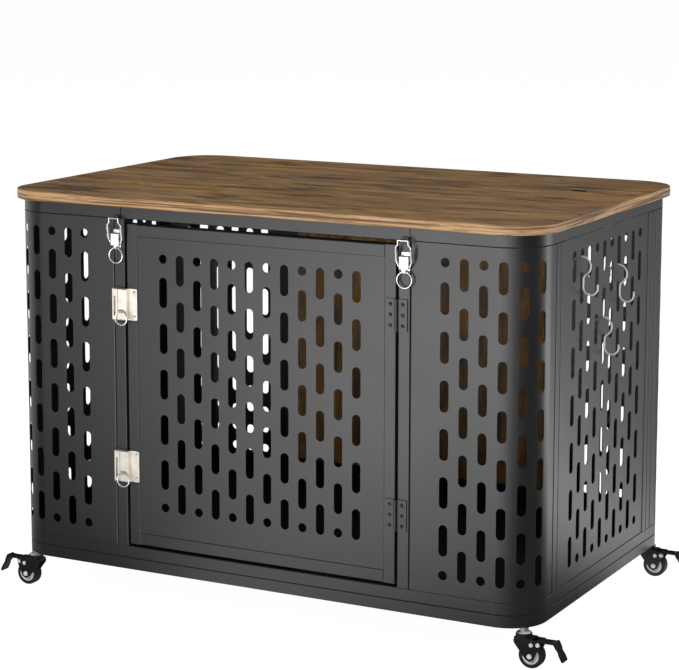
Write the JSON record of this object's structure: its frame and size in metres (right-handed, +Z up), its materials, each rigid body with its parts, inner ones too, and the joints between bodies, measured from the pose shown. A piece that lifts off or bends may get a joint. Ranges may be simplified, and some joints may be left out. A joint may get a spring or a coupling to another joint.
{
  "type": "dog crate",
  "caption": "Furniture-style dog crate of perforated sheet-steel panels on a tube frame, with a wooden lift-up top, framed front door, latches and braked swivel casters.",
  "frame": {"origin": "on the floor under the middle of the crate", "axes": "+X to the right seen from the front, +Y to the back, +Z up"},
  "size_m": [1.046, 0.6258, 0.686],
  "materials": {
    "powder_coat": "satin charcoal powder coat",
    "wood_top": "rustic brown wood-grain laminate",
    "wood_back": "rustic brown wood-grain laminate",
    "tray": "matt black coated sheet",
    "nickel": "satin nickel plate",
    "bright_steel": "bright zinc-nickel plate",
    "black_fork": "gloss black",
    "black_plastic": "gloss black",
    "hub": "light grey",
    "tyre": "black rubber"
  },
  "bodies": {
    "cabin": {"back_board": "wood_back", "back_posts": "powder_coat", "back_rails": "powder_coat", "base_frame": "powder_coat", "caster_stems": "bright_steel", "corner_panel_back_left": "powder_coat", "corner_panel_back_right": "powder_coat", "corner_panel_front_left": "powder_coat", "corner_panel_front_right": "powder_coat", "door_hinge_post_leaves": "powder_coat", "door_posts": "powder_coat", "floor_tray": "tray", "frame_bolts": "bright_steel", "lid_hinge_body_leaves": "powder_coat", "side_panel_left": "powder_coat", "side_panel_right": "powder_coat", "side_posts": "powder_coat", "sill_frame": "powder_coat", "strike_plates": "nickel", "toggle_bases": "bright_steel"},
    "lid": {"top_board": "wood_top", "rim_frame": "powder_coat", "rim_keepers": "powder_coat", "lid_hinge_lid_leaves": "powder_coat", "board_screws": "bright_steel", "cable_grommet": "black_plastic"},
    "door": {"door_frame": "powder_coat", "door_panel": "powder_coat", "door_hinge_door_leaves": "powder_coat", "slam_latch_housings": "nickel"},
    "slam_bolt_lower": {"slam_bolt_lower": "nickel"},
    "pull_ring_lower": {"pull_ring_lower": "bright_steel"},
    "slam_bolt_upper": {"slam_bolt_upper": "nickel"},
    "pull_ring_upper": {"pull_ring_upper": "bright_steel"},
    "toggle_lever_left": {"toggle_lever_left": "bright_steel"},
    "toggle_bail_left": {"toggle_bail_left": "bright_steel"},
    "toggle_ring_left": {"toggle_ring_left": "bright_steel"},
    "toggle_lever_right": {"toggle_lever_right": "bright_steel"},
    "toggle_bail_right": {"toggle_bail_right": "bright_steel"},
    "toggle_ring_right": {"toggle_ring_right": "bright_steel"},
    "caster_fork_front_left": {"caster_fork_front_left": "black_fork"},
    "caster_wheel_front_left": {"caster_wheel_front_left": "hub", "caster_tyre_front_left": "tyre"},
    "caster_brake_front_left": {"caster_brake_front_left": "black_plastic"},
    "caster_fork_front_right": {"caster_fork_front_right": "black_fork"},
    "caster_wheel_front_right": {"caster_wheel_front_right": "hub", "caster_tyre_front_right": "tyre"},
    "caster_brake_front_right": {"caster_brake_front_right": "black_plastic"},
    "caster_fork_back_left": {"caster_fork_back_left": "black_fork"},
    "caster_wheel_back_left": {"caster_wheel_back_left": "hub", "caster_tyre_back_left": "tyre"},
    "caster_brake_back_left": {"caster_brake_back_left": "black_plastic"},
    "caster_fork_back_right": {"caster_fork_back_right": "black_fork"},
    "caster_wheel_back_right": {"caster_wheel_back_right": "hub", "caster_tyre_back_right": "tyre"},
    "caster_brake_back_right": {"caster_brake_back_right": "black_plastic"},
    "hook_front": {"hook_front": "bright_steel"},
    "hook_middle": {"hook_middle": "bright_steel"},
    "hook_back": {"hook_back": "bright_steel"}
  },
  "joints": [
    {"name": "lid_hinge", "type": "hinge", "parent": "cabin", "child": "lid", "pos_m": [0, 0.3035, 0.65], "axis": [-1, 0, 0], "range_deg": [0, 100]},
    {"name": "door_hinge", "type": "hinge", "parent": "cabin", "child": "door", "pos_m": [0.2465, -0.3035, 0.375], "axis": [0, 0, 1], "range_deg": [0, 90]},
    {"name": "slam_bolt_lower_slide", "type": "slide", "parent": "door", "child": "slam_bolt_lower", "axis": [1, 0, 0], "range_m": [-0.004, 0.003], "stiffness_N_per_m": 250, "springref_m": -0.012},
    {"name": "pull_ring_lower_swing", "type": "hinge", "parent": "slam_bolt_lower", "child": "pull_ring_lower", "pos_m": [-0.25, -0.311, 0.228], "axis": [-1, 0, 0], "range_deg": [0, 100]},
    {"name": "slam_bolt_upper_slide", "type": "slide", "parent": "door", "child": "slam_bolt_upper", "axis": [1, 0, 0], "range_m": [-0.004, 0.003], "stiffness_N_per_m": 250, "springref_m": -0.012},
    {"name": "pull_ring_upper_swing", "type": "hinge", "parent": "slam_bolt_upper", "child": "pull_ring_upper", "pos_m": [-0.25, -0.311, 0.499], "axis": [-1, 0, 0], "range_deg": [0, 100]},
    {"name": "toggle_lever_left_swing", "type": "hinge", "parent": "cabin", "child": "toggle_lever_left", "pos_m": [-0.2615, -0.305, 0.625], "axis": [-1, 0, 0], "range_deg": [0, 110]},
    {"name": "toggle_bail_left_swing", "type": "hinge", "parent": "toggle_lever_left", "child": "toggle_bail_left", "pos_m": [-0.2615, -0.3065, 0.611], "axis": [-1, 0, 0], "range_deg": [-110, 0]},
    {"name": "toggle_ring_left_swing", "type": "hinge", "parent": "toggle_lever_left", "child": "toggle_ring_left", "pos_m": [-0.2615, -0.3062, 0.6025], "axis": [-1, 0, 0], "range_deg": [0, 60]},
    {"name": "toggle_lever_right_swing", "type": "hinge", "parent": "cabin", "child": "toggle_lever_right", "pos_m": [0.2615, -0.305, 0.625], "axis": [-1, 0, 0], "range_deg": [0, 110]},
    {"name": "toggle_bail_right_swing", "type": "hinge", "parent": "toggle_lever_right", "child": "toggle_bail_right", "pos_m": [0.2615, -0.3065, 0.611], "axis": [-1, 0, 0], "range_deg": [-110, 0]},
    {"name": "toggle_ring_right_swing", "type": "hinge", "parent": "toggle_lever_right", "child": "toggle_ring_right", "pos_m": [0.2615, -0.3062, 0.6025], "axis": [-1, 0, 0], "range_deg": [0, 60]},
    {"name": "caster_swivel_front_left", "type": "hinge", "parent": "cabin", "child": "caster_fork_front_left", "pos_m": [-0.45398, -0.27448, 0.05], "axis": [0, 0, 1], "continuous": true},
    {"name": "caster_roll_front_left", "type": "hinge", "parent": "caster_fork_front_left", "child": "caster_wheel_front_left", "pos_m": [-0.46798, -0.27448, 0.02], "axis": [0, 1, 0], "continuous": true},
    {"name": "caster_brake_front_left_lift", "type": "hinge", "parent": "caster_fork_front_left", "child": "caster_brake_front_left", "pos_m": [-0.47898, -0.27448, 0.0425], "axis": [0, 1, 0], "range_deg": [0, 15]},
    {"name": "caster_swivel_front_right", "type": "hinge", "parent": "cabin", "child": "caster_fork_front_right", "pos_m": [0.45398, -0.27448, 0.05], "axis": [0, 0, 1], "continuous": true},
    {"name": "caster_roll_front_right", "type": "hinge", "parent": "caster_fork_front_right", "child": "caster_wheel_front_right", "pos_m": [0.46798, -0.27448, 0.02], "axis": [0, 1, 0], "continuous": true},
    {"name": "caster_brake_front_right_lift", "type": "hinge", "parent": "caster_fork_front_right", "child": "caster_brake_front_right", "pos_m": [0.47898, -0.27448, 0.0425], "axis": [0, -1, 0], "range_deg": [0, 15]},
    {"name": "caster_swivel_back_left", "type": "hinge", "parent": "cabin", "child": "caster_fork_back_left", "pos_m": [-0.45398, 0.27448, 0.05], "axis": [0, 0, 1], "continuous": true},
    {"name": "caster_roll_back_left", "type": "hinge", "parent": "caster_fork_back_left", "child": "caster_wheel_back_left", "pos_m": [-0.46798, 0.27448, 0.02], "axis": [0, 1, 0], "continuous": true},
    {"name": "caster_brake_back_left_lift", "type": "hinge", "parent": "caster_fork_back_left", "child": "caster_brake_back_left", "pos_m": [-0.47898, 0.27448, 0.0425], "axis": [0, 1, 0], "range_deg": [0, 15]},
    {"name": "caster_swivel_back_right", "type": "hinge", "parent": "cabin", "child": "caster_fork_back_right", "pos_m": [0.45398, 0.27448, 0.05], "axis": [0, 0, 1], "continuous": true},
    {"name": "caster_roll_back_right", "type": "hinge", "parent": "caster_fork_back_right", "child": "caster_wheel_back_right", "pos_m": [0.46798, 0.27448, 0.02], "axis": [0, 1, 0], "continuous": true},
    {"name": "caster_brake_back_right_lift", "type": "hinge", "parent": "caster_fork_back_right", "child": "caster_brake_back_right", "pos_m": [0.47898, 0.27448, 0.0425], "axis": [0, -1, 0], "range_deg": [0, 15]},
    {"name": "hook_front_swing", "type": "hinge", "parent": "cabin", "child": "hook_front", "pos_m": [0.47325, -0.112, 0.6008], "axis": [0, -1, 0], "range_deg": [0, 25]},
    {"name": "hook_middle_swing", "type": "hinge", "parent": "cabin", "child": "hook_middle", "pos_m": [0.47325, -0.016, 0.4901], "axis": [0, -1, 0], "range_deg": [0, 25]},
    {"name": "hook_back_swing", "type": "hinge", "parent": "cabin", "child": "hook_back", "pos_m": [0.47325, 0.048, 0.5658], "axis": [0, -1, 0], "range_deg": [0, 25]}
  ],
  "couplings": [
    {"joint": "toggle_bail_left_swing", "follows": "toggle_lever_left_swing", "ratio": -1},
    {"joint": "toggle_bail_right_swing", "follows": "toggle_lever_right_swing", "ratio": -1}
  ]
}
